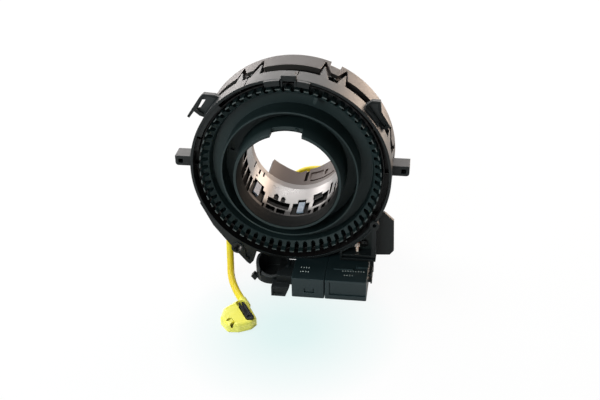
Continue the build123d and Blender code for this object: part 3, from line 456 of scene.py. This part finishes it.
clip_grain = 0.00002
clip_pale = Finish("clip_pale", Roughness=0.65)
clip_pale.tint(clip_pale.noise(300), (0.3, clip_blue), (0.7, clip_white))
clip_pale.bump(clip_pale.noise(1800), clip_grain, strength=0.4)
coat(clip_pale, "hub_clips")

# ---------------------------------------------------------------- lead tower
# Brown nylon tower with the sockets for the wheel's leads, screwed to the disc
# of the hub. The two blocks that clamp the cable's ends are the same nylon.
slit_x = (0.0010, 0.0038)
slit_r = (0.02665, 0.0310)
slit_shade = 0.9
tower_brown = moulded("tower_brown", (0.046, 0.027, 0.021), lift=3, roughness=0.5, ior=1.38)
tower_slit = tower_brown.part("X").within(slit_x) * tower_brown.from_axis().within(slit_r)
tower_brown.shade(tower_slit * (tower_brown.part("Z") < 0) * slit_shade)
coat(tower_brown, "lead_tower", "inner_lead_block", "outer_lead_block")

# ---------------------------------------------------------------- wheel-side lead
# Short lead in the same yellow sleeve with a small plug on its end. It comes
# out of a black collar on the tower and hangs free across the tower's edge.
wheel_lead_radius = 0.0016
wheel_lead_route = [
    (-0.0136, 0.0490, -0.0384),
    (-0.0123, 0.0538, -0.0376),
    (-0.0100, 0.0583, -0.0356),
    (-0.0064, 0.0614, -0.0328),
    (-0.0016, 0.0627, -0.0305),
    (0.0042, 0.0628, -0.0292),
    (0.0100, 0.0626, -0.0289),
]
short_lead = cord_curve("short_lead", wheel_lead_route, wheel_lead_radius)
short_lead.data.materials.append(yellow_sleeve.material)
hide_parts("wheel_lead")
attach(short_lead, "rotor")
coat(yellow_plastic, "wheel_plug")
collar_black = moulded("collar_black", (0.016, 0.017, 0.018), lift=5, roughness=0.4)
coat(collar_black, "wheel_lead_gland", "lead_grommet")

# ---------------------------------------------------------------- harness sockets
# Two black polyester shrouds pinned to the case. Their square brass terminals
# are tinned, cut to a point at both ends and pressed through the roofs.
socket_black = moulded("socket_black", (0.016, 0.028, 0.031), lift=3.5, roughness=0.32)
coat(socket_black, "small_socket", "large_socket")
tin_dull = (0.42, 0.42, 0.40)
tin_bright = (0.72, 0.72, 0.69)
tin = Finish("tin", Metallic=1.0)
tin.drive("Roughness", 0.25 + 0.2 * tin.noise(800))
tin.tint(tin.noise(300), (0.3, tin_dull), (0.7, tin_bright))
coat(tin, "tower_pins")


class Recipe(Maker):
    """A Geometry Nodes tree in the making, with a named input for each of its sizes."""

    family = "GeometryNode"
    other_families = {
        "Math": "ShaderNode", "CombineXYZ": "ShaderNode", "SeparateXYZ": "ShaderNode",
        "RandomValue": "FunctionNode", "GroupInput": "Node", "GroupOutput": "Node",
    }

    def __init__(self, name, **sizes):
        super().__init__(bpy.data.node_groups.new(name, "GeometryNodeTree"))
        kinds = {tuple: "NodeSocketVector", int: "NodeSocketInt", float: "NodeSocketFloat"}
        face = self.tree.interface
        face.new_socket("Geometry", in_out="INPUT", socket_type="NodeSocketGeometry")
        for label, value in sizes.items():
            socket = face.new_socket(label, in_out="INPUT", socket_type=kinds[type(value)])
            socket.default_value = value
        face.new_socket("Geometry", in_out="OUTPUT", socket_type="NodeSocketGeometry")

    def size(self, label):
        """One of the tree's inputs."""
        return self.node("GroupInput", output=label)

    def point(self, x, y, z):
        """A vector of three lengths."""
        return self.node("CombineXYZ", {}, {"X": x, "Y": y, "Z": z})

    def moved(self, shape, x, y, z):
        """A shape moved along the three axes."""
        return self.node("Transform", {}, {"Geometry": shape, "Translation": self.point(x, y, z)})

    def carved(self, operation, **shapes):
        """Solid that shapes add up to, or that is left when some are cut out of the first."""
        return self.node("MeshBoolean", {"operation": operation, "solver": "EXACT"}, {
            name.replace("_", " "): shape for name, shape in shapes.items()})

    def on_points(self, shape, turn, material, scale=(1.0, 1.0, 1.0)):
        """Ends the tree: the shape on each point, made real and given its finish."""
        placed = self.node("InstanceOnPoints", {}, {
            "Points": self.size("Geometry"), "Instance": shape, "Rotation": turn, "Scale": scale})
        real = self.node("RealizeInstances", {}, {"Geometry": placed})
        dressed = self.node("SetMaterial", {}, {"Geometry": real, "Material": material})
        self.node("GroupOutput", {}, {"Geometry": dressed})


def placed_pieces(name, recipe, places, body, sizes=None):
    """Plain mesh of a recipe's shapes at their places, riding on a body."""
    points = bpy.data.meshes.new(name)
    points.from_pydata(places, [], [])
    piece = bpy.data.objects.new(name, points)
    scene.collection.objects.link(piece)
    modifier = piece.modifiers.new(recipe.tree.name, "NODES")
    modifier.node_group = recipe.tree
    identifiers = {item.name: item.identifier for item in recipe.tree.interface.items_tree
                   if item.in_out == "INPUT"}
    for label, value in (sizes or {}).items():
        modifier[identifiers[label]] = value
    evaluated = piece.evaluated_get(bpy.context.evaluated_depsgraph_get())
    solid = bpy.data.meshes.new_from_object(evaluated)
    piece.modifiers.clear()
    piece.data = solid
    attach(piece, body)
    return piece


weld_gap = 0.00001
square_turn = (0.0, 0.0, math.radians(45))
terminal = Recipe("square_terminal", Width=0.00064, Length=0.0102, Point=0.0007)
half_diagonal = terminal.size("Width") * math.sqrt(0.5)
point_length = terminal.size("Point")
blade_length = terminal.size("Length") - 2 * point_length
blade = terminal.node("MeshCylinder", {"fill_type": "NONE"}, {
    "Vertices": 4, "Radius": half_diagonal, "Depth": blade_length})
top_point, low_point = (
    terminal.node("MeshCone", {"fill_type": "NONE"}, {
        "Vertices": 4, sharp: 0.0, blunt: half_diagonal, "Depth": point_length})
    for sharp, blunt in (("Radius Top", "Radius Bottom"), ("Radius Bottom", "Radius Top")))
whole = terminal.node("JoinGeometry", {}, {"Geometry": [
    blade,
    terminal.moved(top_point, 0.0, 0.0, blade_length * 0.5),
    terminal.moved(low_point, 0.0, 0.0, blade_length * -0.5 - point_length),
]})
welded = terminal.node("MergeByDistance", {}, {"Geometry": whole, "Distance": weld_gap})
terminal.on_points(welded, square_turn, tin.material)
terminal_z = -0.0574
terminal_pitch = 0.00142
# Of each row, the first terminal's X, how many there are and the row's Y
terminal_rows = {
    "small_socket_pins": [(0.0067, 4, -0.0130), (0.0067, 4, -0.0090)],
    "large_socket_pins": [(0.0308, 4, -0.0142), (0.0296, 9, -0.0100)],
}
for name, rows in terminal_rows.items():
    places = [(first_x + terminal_pitch * index, row_y, terminal_z)
              for first_x, count, row_y in rows for index in range(count)]
    terminals = placed_pieces(name.replace("pins", "terminals"), terminal, places, "case")
    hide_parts(name)

# ---------------------------------------------------------------- screws
# Blackened steel screws with domed heads and a cross recess. They hold the
# tower on the hub, the sockets on the upright plate and the board in its pocket.
steel_black = (0.015, 0.015, 0.015)
steel_worn = (0.05, 0.05, 0.05)
dark_steel = Finish("dark_steel", Metallic=1.0)
dark_steel.drive("Roughness", 0.35 + 0.2 * dark_steel.noise(900))
dark_steel.tint(dark_steel.noise(400), (0.3, steel_black), (0.7, steel_worn))
# Shares of the head's height: how far its rim lies lower, from where up it is
# domed, and how far the shank reaches into it
rim_drop = 0.35
dome_from = 0.75
shank_in_head = 0.3
screw = Recipe("cross_screw", **{
    "Head Radius": 0.0024, "Head Height": 0.0018, "Shank Radius": 0.00125, "Shank Length": 0.0039,
    "Cross Length": 0.0026, "Cross Width": 0.0006, "Cross Depth": 0.0009, "Turn": (0.0, 0.0, 0.0),
})
head_r = screw.size("Head Radius")
head_height = screw.size("Head Height")
shank_length = screw.size("Shank Length")
cylinder = screw.node("MeshCylinder", {}, {
    "Vertices": 32, "Side Segments": 2, "Fill Segments": 4, "Radius": head_r, "Depth": head_height})
spot = screw.node("InputPosition")
spot_x, spot_y, spot_z = (screw.node("SeparateXYZ", {}, {0: spot}, output=letter)
                          for letter in "XYZ")
sunk = (spot_x * spot_x + spot_y * spot_y) / (head_r * head_r) * head_height * -rim_drop
domed = screw.node("SetPosition", {}, {
    "Geometry": screw.moved(cylinder, 0.0, 0.0, head_height * 0.5),
    "Offset": screw.point(0.0, 0.0, sunk * (spot_z > head_height * dome_from))})
shank = screw.node("MeshCylinder", {}, {
    "Vertices": 24, "Radius": screw.size("Shank Radius"),
    "Depth": shank_length + head_height * shank_in_head})
shank = screw.moved(shank, 0.0, 0.0, (head_height * shank_in_head - shank_length) * 0.5)
arms = []
for x_size, y_size in (("Cross Length", "Cross Width"), ("Cross Width", "Cross Length")):
    extent = screw.point(screw.size(x_size), screw.size(y_size), screw.size("Cross Depth") * 2)
    arms.append(screw.moved(screw.node("MeshCube", {}, {"Size": extent}), 0.0, 0.0, head_height))
recess = screw.carved("UNION", Mesh_2=arms)
screw_solid = screw.carved("DIFFERENCE", Mesh_1=screw.carved("UNION", Mesh_2=[domed, shank]),
                           Mesh_2=recess)
screw.on_points(screw_solid, screw.size("Turn"), dark_steel.material)
facing_back = (math.radians(-90), 0.0, 0.0)
facing_front = (math.radians(90), 0.0, 0.0)
for name, body, places, sizes in (
    ("tower_screws", "rotor", [(-0.01859, 0.0384, -0.02757), (0.0288, 0.0384, -0.01662)],
     {"Turn": facing_back}),
    ("socket_screws", "case", [(0.0114, 0.0102, -0.0586), (0.0319, 0.0102, -0.0586)],
     {"Turn": facing_back, "Shank Length": 0.0}),
    ("board_screw", "case", [(0.0400, 0.0053, -0.0438)],
     {"Turn": facing_front, "Head Radius": 0.0020, "Head Height": 0.0015,
      "Shank Radius": 0.00085, "Shank Length": 0.0040, "Cross Length": 0.0020,
      "Cross Depth": 0.0007}),
):
    screws = placed_pieces("cross_" + name, screw, places, body, sizes)
    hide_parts(name)

# ---------------------------------------------------------------- sensor board
# Small glass-cloth board with black lacquer over its tracks, held by one screw.
# Chip resistors are soldered beside the reader of the code ring.
track_grey = (0.020, 0.026, 0.022)
lacquer_black = (0.005, 0.010, 0.010)
track_relief = 0.00005
board_lacquer = Finish("board_lacquer", Roughness=0.35)
tracks = board_lacquer.node("TexVoronoi", {"feature": "DISTANCE_TO_EDGE"}, {
    "Vector": board_lacquer.places(), "Scale": 900}, output="Distance")
board_lacquer.tint(tracks, (0.02, track_grey), (0.06, lacquer_black))
board_lacquer.bump(tracks, track_relief, strength=0.4)
coat(board_lacquer, "sensor_board")
reader_copper = (0.85, 0.36, 0.18)
reader_highlight = (1.0, 0.86, 0.78)
reader_metal = Finish("reader_metal", Metallic=0.1, Roughness=0.3)
# Painted highlight: near-white patches over the reader's copper; the copper is its own colour.
reader_metal.tint(reader_metal.noise(420), (0.38, reader_copper), (0.50, reader_highlight))
coat(reader_metal, "code_reader")
chip_black = (0.010, 0.010, 0.011)
chip_brown = (0.060, 0.040, 0.028)
chip_grain = 0.00002
chip_ceramic = Finish("chip_ceramic", Roughness=0.45)
chip_ceramic.tint(chip_ceramic.noise(350, detail=1), (0.35, chip_black), (0.65, chip_brown))
chip_ceramic.bump(chip_ceramic.noise(3000), chip_grain, strength=0.4)
chip_x, chip_y, chip_z = 0.0306, 0.0053, -0.0462
column_pitch = 0.0022
row_pitch = 0.0015
chip_count = 6
chip_places = [(chip_x + column_pitch * (index % 2), chip_y, chip_z + row_pitch * (index // 2))
               for index in range(chip_count)]
chip_width = 0.0008
for name, finish, slot, chip_height, chip_length in (
    ("board_chips", chip_ceramic, "black_board", 0.00045, 0.0010),
    ("board_solder", tin, "tin_pins", 0.00035, 0.0016),
):
    chip = Recipe(name, Length=chip_length, Width=chip_width, Height=chip_height, Seed=7)
    extent = chip.point(chip.size("Length"), chip.size("Height"), chip.size("Width"))
    block = chip.node("MeshCube", {}, {"Size": extent})
    block = chip.moved(block, 0.0, chip.size("Height") * -0.5, 0.0)
    stretch = chip.node("RandomValue", {"data_type": "FLOAT_VECTOR"}, {
        "Min": (0.8, 1.0, 0.8), "Max": (1.3, 1.0, 1.2), "Seed": chip.size("Seed")})
    chip.on_points(block, (0.0, 0.0, 0.0), finish.material, stretch)
    chips = placed_pieces(name, chip, chip_places, "case")

# ---------------------------------------------------------------- ejector marks
# Flat round marks that the ejector pins of the mould left on the rear of the
# hub's disc, a few hundredths of a millimetre proud.
mark_ring_r = 0.0405
mark_y = 0.0362
mark = Recipe("ejector_mark", Radius=0.0016, Height=0.00008, Turn=facing_back)
mark_disc = mark.node("MeshCylinder", {}, {
    "Vertices": 24, "Radius": mark.size("Radius"), "Depth": mark.size("Height")})
mark_disc = mark.moved(mark_disc, 0.0, 0.0, mark.size("Height") * 0.5)
mark.on_points(mark_disc, mark.size("Turn"), hub_black.material)
mark_pitch = 45
under_tower = (3, 4)
mark_angles = [math.radians(mark_pitch * (index + 0.5)) for index in range(8)
               if index not in under_tower]
mark_places = [(mark_ring_r * math.sin(angle), mark_y, mark_ring_r * math.cos(angle))
               for angle in mark_angles]
marks = placed_pieces("ejector_marks", mark, mark_places, "rotor")

# ---------------------------------------------------------------- floor and light
# Seamless white table in a white room, with five soft lamps. The object keeps
# its soft shadow, and a teal shadow is painted on the table in front of it.
white = (1.0, 1.0, 1.0)
floor_reach = 1.5
floor_gap = 0.0001
floor_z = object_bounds()[0].z - floor_gap
floor_mesh = bpy.data.meshes.new("floor")
floor_mesh.from_pydata(
    [(-floor_reach, -floor_reach, floor_z), (floor_reach, -floor_reach, floor_z),
     (floor_reach, floor_reach, floor_z), (-floor_reach, floor_reach, floor_z)],
    [], [(0, 1, 2, 3)])
floor = bpy.data.objects.new("floor", floor_mesh)
scene.collection.objects.link(floor)
shadow_teal = (0.76, 0.91, 0.90)
shadow_centre = (0.005, -0.050, floor_z)
shadow_core, shadow_edge = 0.01, 0.060
mirror_front_y, mirror_back_y = -0.10, 0.03
mirror_front, mirror_gain = 0.1, 0.3
glow_seen = 0.93
floor_white = Finish("floor_white", Roughness=0.9, Base_Color=(0.86, 0.87, 0.87))
seen = floor_white.node("LightPath", output="Is Camera Ray")
mirrored = floor_white.node("LightPath", output="Is Glossy Ray")
# Painted shadow: teal round a point in front of the object, fading to white further out.
from_shadow = floor_white.node("VectorMath", {"operation": "DISTANCE"}, {
    0: floor_white.places(), 1: shadow_centre}, output="Value")
floor_and_shadow = floor_white.ramp(from_shadow, (shadow_core, shadow_teal), (shadow_edge, white))
glow = floor_white.node("Emission", {}, {"Color": floor_and_shadow, "Strength": 1.0})
far = floor_white.fade(floor_white.part("Y"), mirror_front_y, mirror_back_y)
floor_white.cover(seen * glow_seen + mirrored * (mirror_front + mirror_gain * far), glow)
floor_mesh.materials.append(floor_white.material)

room_tone = (0.84, 0.97, 1.0)
room_strength = 0.1
scene.world = bpy.data.worlds.new("room")
scene.world.use_nodes = True
scene.world.node_tree.nodes.clear()
room = Maker(scene.world.node_tree)
walls = room.node("Background", {}, {"Color": room_tone, "Strength": room_strength})
backdrop = room.node("Background", {}, {"Color": white, "Strength": 1.0})
eye = room.node("LightPath", output="Is Camera Ray")
both = room.node("MixShader", {}, {0: eye, 1: walls, 2: backdrop})
room.node("OutputWorld", {}, {"Surface": both})

# Each lamp's place, the point that it faces, its width and height, watts and colour
for name, place, aim, (width, height), power, colour in (
    ("left_back_light", (-0.46, 0.76, 0.13), (0, 0.02, 0), (0.4, 0.3), 2.5, (1.0, 0.93, 0.90)),
    ("right_back_light", (0.52, 0.74, 0.10), (0, 0.02, 0), (0.7, 0.35), 6.8, (1.0, 0.79, 0.64)),
    ("back_light", (0.00, 0.76, 0.42), (0, 0.02, -0.02), (0.74, 0.13), 2.9, (1.0, 0.95, 0.925)),
    ("overhead_light", (-0.38, 0.20, 0.80), (0, -0.02, -0.03), (0.5, 0.5), 7, white),
    ("front_light", (-0.40, -0.70, 0.40), (0, 0, 0), (0.4, 0.3), 3.6, (0.86, 1.0, 1.0)),
):
    softbox = bpy.data.lights.new(name, "AREA")
    softbox.shape = "RECTANGLE"
    softbox.size = width
    softbox.size_y = height
    softbox.energy = power
    softbox.color = colour
    lamp = bpy.data.objects.new(name, softbox)
    lamp.location = place
    lamp.rotation_mode = "QUATERNION"
    lamp.rotation_quaternion = (Vector(aim) - Vector(place)).to_track_quat("-Z", "Y")
    scene.collection.objects.link(lamp)
